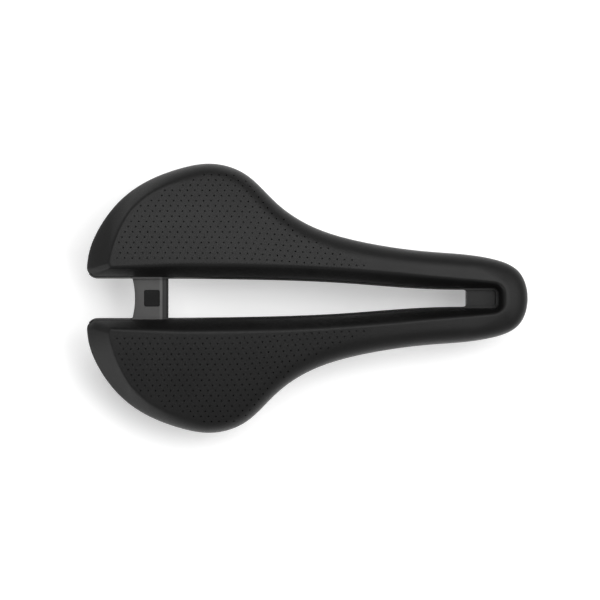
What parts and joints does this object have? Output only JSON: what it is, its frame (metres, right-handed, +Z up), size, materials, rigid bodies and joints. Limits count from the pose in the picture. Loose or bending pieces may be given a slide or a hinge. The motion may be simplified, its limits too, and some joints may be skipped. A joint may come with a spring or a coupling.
{
  "type": "bicycle saddle",
  "caption": "Short-nosed bicycle saddle with a full-length relief channel, padded cover on a nylon shell, clamped metal rails and a removable accessory plug.",
  "frame": {"origin": "half way along the saddle, on its plane of symmetry, at the underside of the rails", "axes": "+X towards the nose, +Y to the rider's left, +Z up"},
  "size_m": [0.2499, 0.1538, 0.0532],
  "materials": {
    "cover": "matt black microfibre, fine grain, perforated over the sit bones",
    "foam": "moulded polyurethane foam",
    "gel": "translucent gel",
    "shell": "moulded glass-filled nylon",
    "rail": "dark satin chromoly tube",
    "sleeve": "elastomer",
    "clamp": "moulded glass-filled nylon",
    "screw": "black oxide steel",
    "insert": "turned brass",
    "plug": "gloss black"
  },
  "bodies": {
    "saddle": {"cover": "cover", "foam_pad": "foam", "sit_pad_left": "gel", "sit_pad_right": "gel", "shell": "shell", "rail_left": "rail", "rail_right": "rail", "rear_sleeve_left": "sleeve", "rear_sleeve_right": "sleeve", "nose_sleeve_left": "sleeve", "nose_sleeve_right": "sleeve", "rear_clamp_left": "clamp", "rear_clamp_right": "clamp", "nose_clamp": "clamp", "rear_clamp_screws": "screw", "nose_clamp_screws": "screw", "rear_clamp_inserts": "insert", "nose_clamp_inserts": "insert", "accessory_inserts": "insert"},
    "plug": {"accessory_plug": "plug"}
  },
  "joints": [
    {"name": "plug_lift", "type": "slide", "parent": "saddle", "child": "plug", "axis": [0, 0, 1], "range_m": [0, 0.012]}
  ]
}
